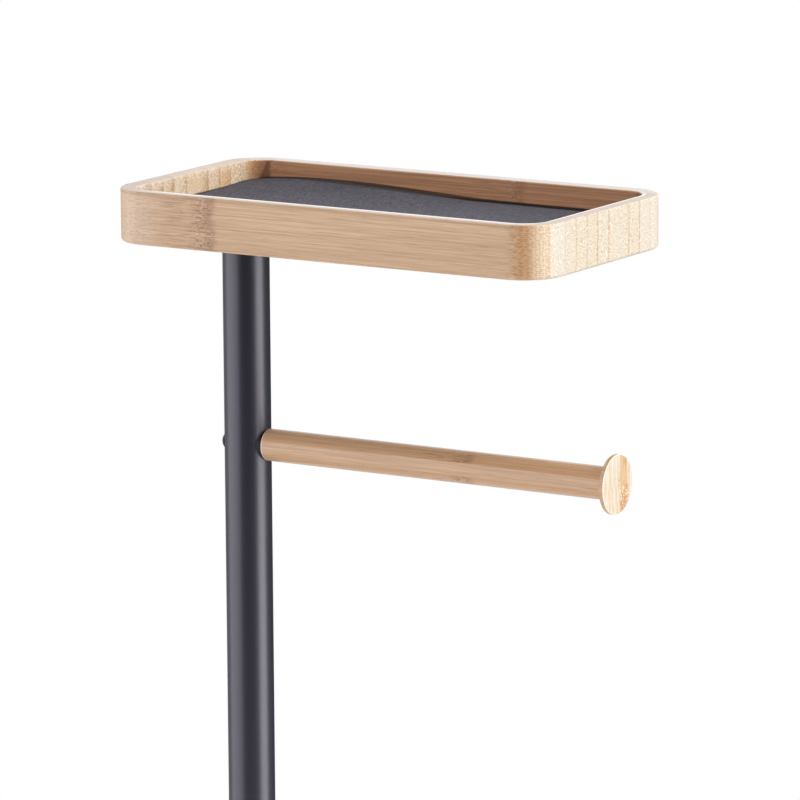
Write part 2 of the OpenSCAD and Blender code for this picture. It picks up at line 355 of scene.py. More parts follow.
def node_marks(board, colour):
    """Each strip's ragged node: dark and light dashes, a brown edge on its right, and a few pits."""
    f, past = board.f, board.past_node
    ragged = (board.fibre(7, 2.4, detail=3.0, roughness=0.6) - 0.5) * 9.0
    ragged = ragged + (f.noise(board.along, board.y / 9, board.z / 7, 1.0) - 0.5) * 10.0
    band = f.fade(past + ragged, -7.0, -2.0) * f.fade(past + ragged * 0.5, 3.4, 0.4)
    edge = f.fade(abs(past + ragged * 0.5 - 1.2), 3.0, 0.2)
    wave = board.fibre(1.9, 0.55, detail=2.0, roughness=0.6, distortion=1.6)
    pits = f.fade(f.cells(board.x / 2.0, board.y / 2.0 + board.shift, board.z / 2.0), 0.20, 0.12)
    pits = pits * f.fade(abs(past + 2.2), 3.0, 1.6) * f.fade(board.fibre(30, 6), 0.50, 0.54)
    colour = f.overlay(
        colour,
        (band * 0.14, (168, 122, 88)),
        (edge * 0.40, (152, 104, 70)),
        (f.fade(wave, 0.52, 0.61) * band * 0.66, (130, 86, 56)),
        (f.fade(wave, 0.42, 0.33) * band * 0.60, (242, 214, 184)),
        (pits * 0.9, (74, 46, 34)))
    return colour, pits


def end_grain(board):
    """Bamboo across its fibres, as its colour and its dots."""
    dots, wavy = end_marks(board)
    colour = board.f.mix(board.to_right, left_end(board, dots, wavy), right_end(board, dots, wavy))
    return colour, dots


def end_marks(board):
    """Dots where the fibres end, and wavy lines that each strip has more or less of."""
    f, x, z, streaky = board.f, board.along, board.z, board.looks["streaky"]
    y = board.y + board.shift
    waved = board.of_strip("waves")
    dots = f.fade(f.cells(x, y / 0.90, z / 0.66, 0.6), 0.50, 0.24)
    dots = dots * (1 - 0.5 * waved) * (1 - 0.75 * streaky)
    bend = f.noise(x, y / 2.0, z / 3.5, 1.0, 0.5) * 4.0
    zigzag = abs((y / 3.6 + bend * 0.12).math("FRACT") - 0.5) * 3.4
    wavy = abs((z / 1.35 + bend + zigzag).math("FRACT") - 0.5)
    worn = f.fade(f.noise(x, y / 0.8, z / 0.8), 0.38, 0.52, 0.3, 1.0)
    return dots, f.fade(wavy, 0.20, 0.36) * worn * waved * (1 - 0.8 * streaky)


def left_end(board, dots, wavy):
    """The cut ends on the left, each strip browner towards one side, with pale waves inside the pocket."""
    f = board.f
    skin = board.inside.math("POWER", 1.6) * board.of_strip("left_skins")
    return f.overlay(
        f.mix(skin, *board.looks["left_end"]),
        (board.in_pocket * f.fade(board.nx, 0.97, 0.75) * 0.5, (208, 158, 106)),
        # Painted light: the outer left is paler.
        (board.outer_left * 0.75, (222, 199, 177)),
        (dots * (0.7 - 0.35 * board.outer_left), (164, 122, 84)),
        (wavy * 0.60 * (1 - board.outer_left), (255, 246, 226)))


def right_end(board, dots, wavy):
    """The cut ends on the right, each strip a little darker towards its skin.

    Where the fibres are cut at a slant, the wood is browner. Streaky wood has soft upright streaks in the
    place of most of the dots.
    """
    f, slant = board.f, board.slant
    flip = f.chance(board.index, board.seed + 3).math("GREATER_THAN", 0.5)
    skin = board.inside + flip - 2 * board.inside * flip
    streak = f.noise(board.along, board.y / 0.75 + board.shift, board.z / 13, 4.0, 0.75)
    cut = f.fade(slant, 0.92, 0.46) * (0.10 + 0.90 * board.to_right)
    turning = f.fade(slant, 0.98, 0.86) * f.fade(slant, 0.56, 0.72) * board.to_right
    return f.overlay(
        f.mix(board.of_strip("end_tones"), *board.looks["end"]),
        (f.fade(streak, 0.47, 0.60) * 0.75 * board.looks["streaky"], (206, 170, 122)),
        (skin * 0.14, (214, 190, 150)),
        (cut * 0.88, (202, 152, 105)),
        (dots * (0.38 + 0.26 * cut), (168, 122, 78)),
        (wavy * (0.85 - 0.6 * cut), (188, 164, 124)),
        (turning * 0.30, (252, 224, 188)),
        (turning * dots * 0.40, (184, 140, 98)))


def end_share(board, streak, dots):
    """How far a point belongs to a cut end, from 0 to 1, with a ragged border."""
    f, to_right, in_pocket = board.f, board.to_right, board.in_pocket
    ragged = board.slant + (streak - 0.5) * 0.12 + (dots - 0.5) * 0.06
    start = f.fade(to_right, 0.0, 1.0, 0.06, 0.20)
    start = start + (0.54 - start) * in_pocket
    reach = f.fade(to_right, 0.0, 1.0, 0.34, 0.13)
    reach = reach + (0.14 - reach) * in_pocket
    return ((ragged - start) / reach).math("MINIMUM", 1.0).math("MAXIMUM", 0.0)


def rim_edges(board, colour):
    """The tray's rim: its top paler and whitest at the rear as painted light, browner at the near left, with
    a painted highlight along its inner edge and a brown line under it.
    """
    f, nx, nz, from_left, below_top = board.f, board.nx, board.nz, board.from_left, board.below_top
    on_rim = f.fade(nz, 0.90, 0.985) * f.fade(below_top, 3, 2)
    rear, front = f.fade(board.from_rear, 10, 6), f.fade(board.from_front, 8, 5)
    near_left = f.fade(from_left, 21.5, 7.5) * f.fade(board.from_front, 54, 10)
    # Painted highlight along the rim's inner edge.
    rim_highlight = f.fade(board.depth + front * 1.3, 3.9, 4.3) * (1 - rear) * f.fade(from_left, 7.5, 25.5)
    under_rim = f.fade(abs(below_top - 0.8), 0.6, 0.1) * f.fade(board.depth, 1.0, 0.4)
    left_edge = f.fade(nz, 0.08, 0.30) * f.fade(nz, 0.98, 0.92) * f.fade(nx, 0.0, 0.1)
    left_edge = left_edge * f.fade(from_left, 8, 6) * f.fade(below_top, 1.6, 0.9)
    return f.overlay(
        colour,
        # The paler top and the whiter rear are painted light.
        (on_rim * 0.5, (208, 194, 185)),
        (on_rim * rear * 0.7, (222, 214, 210)),
        (on_rim * near_left * 0.6, (182, 160, 152)),
        (on_rim * rim_highlight * 0.95, (255, 252, 248)),
        (under_rim * f.fade(nx, 0.6, 0.2) * 0.32, (140, 98, 66)),
        (left_edge * 0.65, (222, 202, 184)))


def pocket_walls(board, colour):
    """The pocket's walls: browner at the back and in the corners as painted shade, flecked white near the
    rim as a painted highlight, and with painted shade along the mat.
    """
    f, nx = board.f, board.nx
    # Painted shade: the walls at the back of the pocket, facing the front, are browner.
    at_back = f.fade(board.ny, -0.3, -0.8)
    bands = f.fade(board.fibre(50, 0.9, detail=3.0, roughness=0.6), 0.42, 0.58)
    # Painted shade in the pocket's corners, its edge slanting with the height like a shadow's.
    shaded = f.fade(nx + board.over_mat * 0.046, 0.64, 0.54)
    corner = shaded * f.fade(nx, 0.02, 0.22) * 1.35 + f.fade(nx, -0.05, -0.6)
    # White flecks near the rim are a painted highlight; some strips are flecked all down the wall.
    near_rim = f.fade(board.below_top, 3.6, 0.5, 0.0, 0.8)
    near_rim = near_rim.math("MAXIMUM", board.of_strip("bleached")) * f.fade(nx, 0.84, 0.97)
    fleck = f.noise(board.along, board.y / 0.9 + board.shift, board.z / 0.7, 2.0, 0.6, 1.0)
    # Painted shade: near black on the walls below the mat's top, seen in the gaps beside the mat.
    dust_and_shade = f.fade(board.over_mat, 0.15, -0.25)
    layers = (
        (at_back * 0.35, (194, 127, 85)),
        (at_back * bands * 0.35, (150, 96, 60)),
        (corner * 0.55, (120, 76, 48)),
        (near_rim * f.fade(fleck, 0.48, 0.55) * 0.9, (255, 250, 240)),
        (dust_and_shade * 0.93, (34, 20, 18)),
        (mat_gap_shade(board) * 0.80, (30, 23, 25)))
    return f.overlay(colour, *[(board.in_pocket * share, tint) for share, tint in layers])


def mat_gap_shade(board):
    """Painted shadow on the rear wall along the mat's curled edge, where the gap behind the mat is dark."""
    f, from_left, quarter_turn = board.f, board.from_left, math.pi / 2
    from_peak = board.x - CURL_X / MM
    along = (from_peak * (MM / CURL_RIGHT)).math("MAXIMUM", from_peak * (-MM / CURL_LEFT))
    fall = (along.math("MINIMUM", 1.0) * quarter_turn).math("COSINE").math("MAXIMUM", 0.0)
    over_curl = board.over_mat - fall.math("POWER", CURL_POWER) * (CURL_RISE / MM)
    height = f.fade(from_left, 15.5, 57.5, 0.0, 0.42) * f.fade(from_left, 132.5, 82.5)
    gap_shade = f.fade(over_curl - height, 0.12, -0.08) * f.fade(over_curl, -1.6, -1.1)
    return gap_shade * f.fade(board.ny, -0.75, -0.95)


def arm_edges(board, colour, at_end):
    """The marks of an arm's disc, and a painted highlight on its turned edges."""
    f, nx = board.f, board.nx
    arm_start, past_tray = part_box("upper_arm")[0].x / MM, f.fade(board.x, 80, 81)
    # Painted highlight on the disc's rounded rim and on the dowel's cut end.
    turned_edge_highlight = f.fade(nx, 0.25, 0.50) * f.fade(nx, 0.98, 0.85) * past_tray
    turned_edge_highlight = turned_edge_highlight + f.fade(board.x, arm_start + 0.7, arm_start + 0.35)
    colour = f.mix(at_end * board.to_right, colour, disc_marks(board, colour))
    return f.overlay(colour, (turned_edge_highlight * 0.85, (255, 246, 228)))


def disc_marks(board, colour):
    """A swirl of darker and lighter wood low on each arm's disc, and two pits near its middle."""
    f, y = board.f, board.y
    upper_z, lower_z = (z / MM for z in ARM_HEIGHTS)
    pitch = upper_z - lower_z
    z = (board.z - (lower_z - pitch / 2)).math("FLOORED_MODULO", pitch) - pitch / 2
    swirl_y, swirl_z, squeeze, pit_y, pit_heights = 4.2, -4.8, 0.5916, 0.9, (1.3, -0.5)
    swirl = f.noise(board.along, y, z / 1.9, 2.0, 0.6, 2.6)
    here = f.fade(distance(y - swirl_y, (z - swirl_z) * squeeze), 4.2, 2.0)
    golden = f.fade(y, 1.6, 2.2) * f.fade(y, 7.2, 6.2)
    lines = f.fade(f.noise(board.along, y / 0.5, z / 9, 3.0, 0.6), 0.50, 0.58)
    colour = f.overlay(
        colour,
        (golden * lines * 0.6, (190, 138, 86)),
        (here * f.fade(swirl, 0.49, 0.58) * 0.85, (178, 124, 72)),
        (here * f.fade(swirl, 0.46, 0.36) * 0.6, (250, 240, 218)))
    pits = [f.fade(distance(y - pit_y, z - pit_z), 0.38, 0.16) for pit_z in pit_heights]
    return f.overlay(colour, *[(pit * 0.75, (120, 80, 48)) for pit in pits])


def bamboo(name, looks, seed):
    """Bamboo strips glued side by side and lacquered, with their fibres along X."""
    f = Finish(name, Specular_IOR_Level=0.45, Coat_Roughness=0.10)
    board = Board(f, looks, seed)
    side, streak, hollow = side_grain(board)
    end, dots = end_grain(board)
    at_end = end_share(board, streak, dots)
    glue = board.glue()
    # Painted light: the outer left and the left of the front are paler.
    front_left = f.fade(board.from_left, 25.5, 10.5) * f.fade(board.from_front, 44, 24)
    front_left = front_left * f.fade(board.nz, 0.5, 0.2)
    side = f.overlay(side, (board.outer_left.math("MAXIMUM", front_left) * 0.45, (234, 213, 193)))
    glued = glue * (0.16 + 0.60 * at_end) * (1 - board.outer_left)
    colour = f.overlay(f.mix(at_end, side, end), (glued, (184, 144, 94)))
    if looks is ARM_LOOKS:
        colour = arm_edges(board, colour, at_end)
    else:
        colour = pocket_walls(board, rim_edges(board, colour))
    worn = hollow * (1 - at_end) + glue * 0.1 + dots * at_end * 0.4
    normal = f.bump(1 - worn, 0.05 * MM)
    roughness = 0.38 + 0.08 * streak + 0.10 * at_end + 0.1 * glue
    coat = f.fade(board.nz, 0.90, 0.99, looks["coat"], looks["rim_coat"])
    return f.wear(Base_Color=colour, Roughness=roughness, Coat_Weight=coat, Normal=normal)


# Other finishes


def coated_steel(name):
    """Fine matt powder coat in a blue-black."""
    f = Finish(name, Specular_IOR_Level=1.0, Specular_Tint=(0.90, 0.88, 1.0, 1.0), Coat_Weight=0.5,
               Coat_Roughness=0.28)
    x, y, z = f.place()
    peel = f.grain(1.3, 2.0)
    powder = f.grain(0.22, 2.0, 0.6)
    cloud = f.noise(x / 30, y / 30, z / 60, 3.0)
    colour = f.mix(powder, linear(17, 17, 33), linear(28, 28, 46))
    colour = f.shade(colour, 0.86 + 0.28 * cloud)
    normal = f.bump(peel * 0.6 + powder * 0.4, 0.035 * MM)
    return f.wear(Base_Color=colour, Roughness=0.34 + 0.08 * powder + 0.04 * cloud, Normal=normal)


def felt(name):
    """Pressed felt in a blue-grey, speckled by lighter and darker fibres, brighter towards the front and the
    right as painted light, and with painted shade along its edges.
    """
    f = Finish(name, Specular_IOR_Level=0.25, Sheen_Weight=0.25, Sheen_Roughness=0.45,
               Sheen_Tint=linear(190, 190, 205))
    x, y, z = f.place()
    fluff = f.noise(x / 0.9, y / 2.6, z / 0.9, 4.0, 0.7, 1.2)
    hairs = f.noise(x / 0.4, y / 2.2, z / 0.4, 3.0, 0.7, 2.5)
    patches = f.noise(x / 12, y / 9, z / 9, 3.0, 0.6)
    lint = f.fade(f.cells(x / 2.6, y / 2.6, z / 2.6), 0.20, 0.08)
    # Painted light: the felt is brighter towards the front and the right.
    painted_light_falloff = f.fade(y, 32, -16, 0.66, 1.06) * f.fade(x, -70, 40, 0.93, 1.04)
    edge = f.add("ShaderNodeAttribute", {"attribute_name": EDGE_ATTRIBUTE}, None, "Fac")
    colour = f.overlay(
        f.mix(f.fade(fluff, 0.38, 0.62), linear(52, 50, 57), linear(94, 91, 100)),
        (f.fade(hairs, 0.56, 0.70) * 0.40, (120, 117, 127)),
        (lint * 0.5, (132, 130, 139)))
    colour = f.shade(colour, (0.86 + 0.28 * patches) * painted_light_falloff)
    # Painted shade along the mat's edges, where the gap to the pocket's walls is dark.
    colour = f.overlay(colour, (f.fade(edge, EDGE_CLEAR, EDGE_DARK), (30, 26, 28)))
    normal = f.bump(fluff * 0.7 + hairs * 0.3, 0.22 * MM)
    return f.wear(Base_Color=colour, Roughness=0.86 + 0.12 * fluff, Normal=normal)


def plated(name, dark, light, roughness):
    """Plated or bare metal with fine turning marks and a few stains."""
    f = Finish(name, Metallic=1.0)
    marks, stains = f.grain(0.2, 3.0, 0.6), f.grain(4, 4.0, 0.6)
    colour = f.mix(f.fade(stains, 0.3, 0.7), dark, light)
    normal = f.bump(marks, 0.01 * MM)
    return f.wear(Base_Color=colour, Roughness=roughness + 0.14 * stains + 0.08 * marks, Normal=normal)


def moulded(name, colour, roughness, grain_mm, depth):
    """Plain moulded plastic or rubber with its grain."""
    f = Finish(name, Specular_IOR_Level=0.45)
    grain, dust_and_shade = f.grain(grain_mm, 3.0, 0.6), f.fade(f.grain(3, 4.0, 0.7), 0.5, 0.8)
    tint = f.overlay(colour, (dust_and_shade * 0.25, (110, 108, 106)))
    normal = f.bump(grain, depth)
    return f.wear(Base_Color=tint, Roughness=roughness + 0.12 * grain, Normal=normal)


# The bamboo of the tray and of the arms. The glue lines have their places across in millimetres, and their
# strengths. Every other list has one value for each strip, from front to rear. A pair of colours is the pale
# wood and the brown, and a tone of 0 is the pale one.
TRAY_LOOKS = {
    "lines": (-50.3, -37.5, -29.9, -22.4, -15.4, -8.6, -1.1, 5.6, 12.2, 19.3, 26.5, 33.8, 41.6, 48.6),
    "slant": 0.0172,
    "line_strengths": (0.3, 0.5, 0.3, 0.6, 0.6, 0.9, 1.0, 0.0, 0.8, 0.9, 0.4, 0.35, 0.6, 0.5),
    "node_start": 0.316,
    "side_tones": (0.20, 0.1, 0.2, 0.12, 0.25, 0.1, 0.3, 0.12, 0.22, 0.1, 0.2, 0.75, 0.4),
    "side": (linear(232, 201, 166), linear(204, 150, 106)),
    "end_tones": (0.50, 0.06, 0.14, 0.08, 0.18, 0.10, 0.12, 0.18, 0.12, 0.22, 0.16, 0.12, 0.15),
    "end": (linear(219, 216, 208), linear(202, 183, 152)),
    "left_end": (linear(238, 203, 160), linear(186, 138, 92)),
    "left_skins": (0.5, 0.5, 0.7, 0.8, 1.0, 0.5, 0.15, 0.8, 0.5, 0.35, 0.35, 0.4, 0.5),
    "bleached": (0.0, 0.0, 0.0, 0.2, 0.3, 0.5, 0.3, 0.1, 0.3, 0.0, 0.65, 0.2, 0.0),
    "waves": (0.1, 0.6, 0.8, 1.0, 1.0, 1.0, 0.8, 0.9, 0.9, 0.1, 0.1, 0.2, 0.2),
    "streaky": 0.0,
    "coat": 0.25,
    "rim_coat": 0.4}
ARM_LOOKS = {
    "lines": (-12, -8.2, -5.0, -2.4, 0.2, 1.9, 6.2, 7.4, 12),
    "slant": 0.0,
    "line_strengths": (0.0, 0.10, 0.22, 0.10, 0.30, 0.45, 0.15, 0.30, 0.0),
    "node_start": 0.47,
    "side_tones": (0.2, 0.15, 0.55, 0.45, 0.5, 0.6, 0.3, 0.5),
    "side": (linear(229, 192, 156), linear(199, 143, 90)),
    "end_tones": (0.08, 0.14, 0.06, 0.12, 0.10, 0.85, 0.02, 0.12),
    "end": (linear(221, 217, 206), linear(210, 176, 130)),
    "left_end": (linear(240, 214, 184), linear(216, 180, 144)),
    "left_skins": (1.0,) * 8,
    "waves": (0.6, 0.2, 0.4, 0.2, 0.3, 0.8, 0.2, 0.4),
    "streaky": 1.0,
    "coat": 0.6,
    "rim_coat": 0.6}

tray_bamboo = bamboo("tray_bamboo", TRAY_LOOKS, 11.0)
arm_bamboo = bamboo("arm_bamboo", ARM_LOOKS, 37.0)
steel = coated_steel("coated_steel")
mat_felt = felt("mat_felt")
zinc = plated("zinc_steel", linear(168, 172, 176), linear(196, 199, 202), 0.26)
brass = plated("insert_brass", linear(176, 138, 70), linear(206, 170, 96), 0.22)
plastic = moulded("black_plastic", linear(24, 24, 26), 0.42, 0.5, 0.02 * MM)
rubber = moulded("foot_rubber", linear(26, 26, 28), 0.68, 0.35, 0.05 * MM)


# Making of meshes


def section(corners, hold=0.25 * MM):
    """A path through corners (across, up, radius), each rounded by an arc.

    A point just before and one just after each arc keep the flats beside it flat.
    """
    path = []
    for k, (across, up, radius) in enumerate(corners):
        here = Vector((across, up))
        if not radius or k in (0, len(corners) - 1):
            path.append(here)
            continue
        back = (Vector(corners[k - 1][:2]) - here).normalized()
        on = (Vector(corners[k + 1][:2]) - here).normalized()
        half_turn = back.angle(on) / 2
        reach = radius / math.tan(half_turn)
        centre = here + (back + on).normalized() * (radius / math.sin(half_turn))
        first, last = here + back * reach - centre, here + on * reach - centre
        steps = 5 + int(radius / (0.4 * MM))
        path.append(centre + first + back * hold)
        path += [centre + first.slerp(last, s / steps).normalized() * radius for s in range(steps + 1)]
        path.append(centre + last + on * hold)
    return path


def ring(radius, height, steps=96, turn=None):
    """A circle round the Z axis, or where turn puts it."""
    points = []
    for s in range(steps):
        angle = math.tau * s / steps
        points.append(Vector((radius * math.cos(angle), radius * math.sin(angle), height)))
    return [turn @ p for p in points] if turn else points


def rounded_rectangle(middle, half_w, half_d, corner_r, height, steps=24):
    """A level rectangle with round corners."""
    points = []
    for quarter, (sx, sy) in enumerate(((1, 1), (-1, 1), (-1, -1), (1, -1))):
        centre = Vector((middle.x + sx * (half_w - corner_r), middle.y + sy * (half_d - corner_r)))
        for s in range(steps + 1):
            angle = (quarter + s / steps) * math.pi / 2
            points.append(Vector((centre.x + corner_r * math.cos(angle),
                                  centre.y + corner_r * math.sin(angle), height)))
    return points


def hexagon(width, height, turn):
    """A six-sided outline of the given width across its flats."""
    return ring(width / 2 / math.cos(math.pi / 6), height, 6, turn)


class Shell:
    """A closed surface, put together from loops of points."""

    def __init__(self):
        self.bm = bmesh.new()

    def loft(self, loops, closed=False):
        """Walls from loop to loop. Gives the first and last loop's corners."""
        rings = [[self.bm.verts.new(p) for p in loop] for loop in loops]
        self.join(rings + rings[:1] if closed else rings)
        return rings[0], rings[-1]

    def join(self, rings):
        """Walls from ring to ring of corners."""
        for a, b in zip(rings, rings[1:]):
            for k in range(len(a)):
                n = (k + 1) % len(a)
                self.bm.faces.new((a[k], a[n], b[n], b[k]))

    def turned(self, path, turn, steps=96):
        """The walls that a path of (radius, height) makes when it is turned."""
        return self.loft([ring(p.x, p.y, steps, turn) for p in path])

    def fill(self, *loops):
        """A flat face between an outer loop and the loops inside it."""
        edges = []
        for loop in loops:
            for a, b in zip(loop, loop[1:] + loop[:1]):
                edges.append(self.bm.edges.get((a, b)) or self.bm.edges.new((a, b)))
        bmesh.ops.triangle_fill(self.bm, use_beauty=True, use_dissolve=False, edges=edges)

    def include(self, mesh, turn):
        """Adds a copy of a finished mesh."""
        copy = mesh.copy()
        copy.transform(turn)
        self.bm.from_mesh(copy)
        bpy.data.meshes.remove(copy)

    def mesh(self, name):
        """The shell as a mesh whose faces point outwards."""
        bmesh.ops.recalc_face_normals(self.bm, faces=self.bm.faces[:])
        mesh = bpy.data.meshes.new(name)
        self.bm.to_mesh(mesh)
        self.bm.free()
        mesh.polygons.foreach_set("use_smooth", [True] * len(mesh.polygons))
        mesh.set_sharp_from_angle(angle=SHARP_ANGLE)
        return mesh

    def piece(self, name, finish, slot, *nodes, body="stand"):
        """The shell as a piece of the object that stands for CAD nodes."""
        return add_piece(name, self.mesh(name), finish, slot, *nodes, body=body)


def add_piece(name, mesh, finish, slot, *nodes, body="stand"):
    """Puts a mesh in the scene as a piece that rides on a body and stands for CAD nodes."""
    piece = bpy.data.objects.new(name, mesh)
    bpy.context.scene.collection.objects.link(piece)
    mesh.materials.clear()
    mesh.materials.append(finish)
    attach(piece, body)
    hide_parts(*nodes)
    return piece


# Geometry Nodes


def new_tree(name, inputs):
    """A geometry tree with named inputs, as its graph, its input wires and its sockets' identifiers."""
    tree = bpy.data.node_groups.new(name, "GeometryNodeTree")
    keys = {}
    for label, kind in inputs:
        keys[label] = tree.interface.new_socket(label, in_out="INPUT", socket_type=kind).identifier
    tree.interface.new_socket("Geometry", in_out="OUTPUT", socket_type="NodeSocketGeometry")
    graph = Graph(tree)
    node = tree.nodes.new("NodeGroupInput")
    return graph, {label: Wire(graph, node.outputs[label]) for label in keys}, keys


def end_tree(graph, geometry, material):
    """Ends a tree with real geometry and its material."""
    real = graph.add("GeometryNodeRealizeInstances", None, {0: geometry})
    named = graph.add("GeometryNodeSetMaterial", None, {"Geometry": real, "Material": material})
    graph.add("NodeGroupOutput", None, {0: named})


def run_tree(tree, keys, values, start=None):
    """The plain mesh that a tree makes from its inputs and a starting mesh."""
    holder = bpy.data.objects.new("holder", start or bpy.data.meshes.new("start"))
    bpy.context.scene.collection.objects.link(holder)
    modifier = holder.modifiers.new("tree", "NODES")
    modifier.node_group = tree
    for label, value in values.items():
        modifier[keys[label]] = value
    made = bpy.data.meshes.new_from_object(holder.evaluated_get(bpy.context.evaluated_depsgraph_get()))
    bpy.data.objects.remove(holder)
    return made


def thread_tree():
    """A threaded rod from z = 0 up, whose ridges fade out at both ends."""
    flank, crest_w, groove_share, tip_share = 1.6, 0.3, 0.61, 0.5
    graph, wires, keys = new_tree("thread", (
        ("Radius", "NodeSocketFloat"), ("Length", "NodeSocketFloat"), ("Pitch", "NodeSocketFloat"),
        ("Facets", "NodeSocketInt"), ("Rings", "NodeSocketInt"), ("Material", "NodeSocketMaterial")))
    rod = graph.add("GeometryNodeMeshCylinder", {"fill_type": "NGON"}, {
        "Vertices": wires["Facets"], "Side Segments": wires["Rings"], "Radius": wires["Radius"],
        "Depth": wires["Length"]})
    x, y, z = graph.split(graph.add("GeometryNodeInputPosition"))
    along = z + wires["Length"] / 2
    phase = along / wires["Pitch"] - y.math("ARCTAN2", x) / math.tau
    groove = abs(phase.math("FRACT") * 2 - 1).math("MULTIPLY_ADD", flank, -crest_w)
    groove = groove.math("MAXIMUM", 0.0).math("MINIMUM", 1.0)
    near_end = along.math("MINIMUM", wires["Length"] - along) / wires["Pitch"]
    shrink = groove * near_end.math("MINIMUM", 1.0) * groove_share * wires["Pitch"] / wires["Radius"]
    tip = (1 - near_end).math("MAXIMUM", 0.0) * tip_share * wires["Pitch"] / wires["Radius"]
    share = 1 - shrink.math("MAXIMUM", tip)
    placed = graph.add("GeometryNodeSetPosition", None, {
        "Geometry": rod, "Position": graph.join(x * share, y * share, along)})
    end_tree(graph, placed, wires["Material"])
    return graph.tree, keys


def spread_tree():
    """Copies of a starting mesh at the corners of a rectangle."""
    graph, wires, keys = new_tree("spread", (
        ("Piece", "NodeSocketGeometry"), ("Along", "NodeSocketFloat"), ("Across", "NodeSocketFloat"),
        ("Material", "NodeSocketMaterial")))
    corners = graph.add("GeometryNodeMeshGrid", None, {
        "Size X": wires["Along"], "Size Y": wires["Across"], "Vertices X": 2, "Vertices Y": 2})
    copies = graph.add("GeometryNodeInstanceOnPoints", None, {
        "Points": corners, "Instance": wires["Piece"]})
    end_tree(graph, copies, wires["Material"])
    return graph.tree, keys


THREAD_TREE, THREAD_KEYS = thread_tree()
SPREAD_TREE, SPREAD_KEYS = spread_tree()


def threaded_rod(radius, length, pitch, finish):
    """A threaded rod from z = 0 to z = length."""
    facets, rings_per_turn = 24, 8
    return run_tree(THREAD_TREE, THREAD_KEYS, {
        "Radius": radius, "Length": length, "Pitch": pitch, "Facets": facets,
        "Rings": int(rings_per_turn * length / pitch), "Material": finish})


# Pieces of the tray


def make_tray():
    """The board with its pocket, and the recess and holes of the screw and the pin."""
    middle, half = (tray_lo + tray_hi) / 2, (tray_hi - tray_lo) / 2
    wall, corner_r = RIM_W, TRAY_CORNER_R
    crown_w, crown_drop = 3.2 * MM, 0.15 * MM
    pocket_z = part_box("tray_screw")[1].z
    recess_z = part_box("tray_cup_washer")[0].z
    recess_r, hole_r, over_pin = 9.1 * MM, 3.2 * MM, 0.3 * MM
    pin_lo, pin_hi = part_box("tray_locating_pin")
    at_pin = Matrix.Translation(((pin_lo.x + pin_hi.x) / 2, 0, 0))
    edge = section((
        (4 * MM, tray_lo.z, 0), (0, tray_lo.z, 1.3 * MM), (0, tray_hi.z, 0.5 * MM),
        (wall - crown_w, tray_hi.z, 9 * MM), (wall, tray_hi.z - crown_drop, 0.45 * MM),
        (wall, pocket_z, 0.6 * MM), (wall + 2 * MM, pocket_z, 0)))
    shell = Shell()
    below, pocket = shell.loft([
        rounded_rectangle(middle, half.x - p.x, half.y - p.x, corner_r - p.x, p.y) for p in edge])
    bore = section((
        (recess_r + 0.6 * MM, pocket_z, 0), (recess_r, pocket_z, 0.2 * MM), (recess_r, recess_z, 0.2 * MM),
        (hole_r, recess_z, 0.2 * MM), (hole_r, tray_lo.z, 0.2 * MM), (hole_r + 0.6 * MM, tray_lo.z, 0)),
        hold=0.1 * MM)
    recess, hole = shell.turned(bore, AT_POST, 64)
    pin_mouth, pin_end = shell.loft([
        ring(PIN_D / 2, z, 32, at_pin) for z in (tray_lo.z, pin_hi.z + over_pin)])
    shell.fill(pocket, recess)
    shell.fill(below, hole, pin_mouth)
    shell.fill(pin_end)
    shell.piece("tray_board", tray_bamboo, "tray_bamboo", "tray")


def mat_lift(x, y):
    """How far the mat's curled rear edge stands off the pocket's floor."""
    fold_y = 2 * MM
    along = min(abs(x - CURL_X) / (CURL_LEFT if x < CURL_X else CURL_RIGHT), 1.0)
    across = max((y - fold_y) / (mat_hi.y - fold_y), 0.0)
    return CURL_RISE * math.cos(along * math.pi / 2) ** CURL_POWER * across ** 1.5


def on_rounded_plan(u, v, half, corner_r):
    """A point of a plain rectangle, moved so that the rectangle's corners become round."""
    past_x, past_y = abs(u) - (half.x - corner_r), abs(v) - (half.y - corner_r)
    if past_x <= 0 or past_y <= 0:
        return u, v
    reach = max(past_x, past_y)
    angle = math.pi / 4 * min(past_x, past_y) / reach
    if past_y > past_x:
        angle = math.pi / 2 - angle
    return (math.copysign(half.x - corner_r + reach * math.cos(angle), u),
            math.copysign(half.y - corner_r + reach * math.sin(angle), v))


def graded(half, corner_r, step):
    """Places from -half to half, a step apart, with one where each corner's rounding starts."""
    inner = half - corner_r
    n_inner, n_corner = round(2 * inner / step), round(corner_r / step)
    corner = [inner + corner_r * (k + 1) / n_corner for k in range(n_corner)]
    return [-c for c in reversed(corner)] + [
        -inner + 2 * inner * k / n_inner for k in range(n_inner + 1)] + corner


def from_shaded_edge(u, v, half):
    """The edge attribute of a point of the mat, whose painted shade is widest along the curled rear."""
    side_w, thin_w, extra_w = 0.72 * MM, 0.5 * MM, 2.1 * MM
    widest_x, left_run, right_run = -28 * MM, 40 * MM, 60 * MM
    half_faded, far_away = (EDGE_DARK + EDGE_CLEAR) / 2, 2.0
    away = (u - widest_x) / (left_run if u < widest_x else right_run)
    rear_w = thin_w + extra_w * math.cos(min(abs(away), 1.0) * math.pi / 2) ** 2
    widths = (half.x - abs(u)) / side_w, (half.y + v) / side_w, (half.y - v) / rear_w
    return half_faded * min(*widths, far_away)


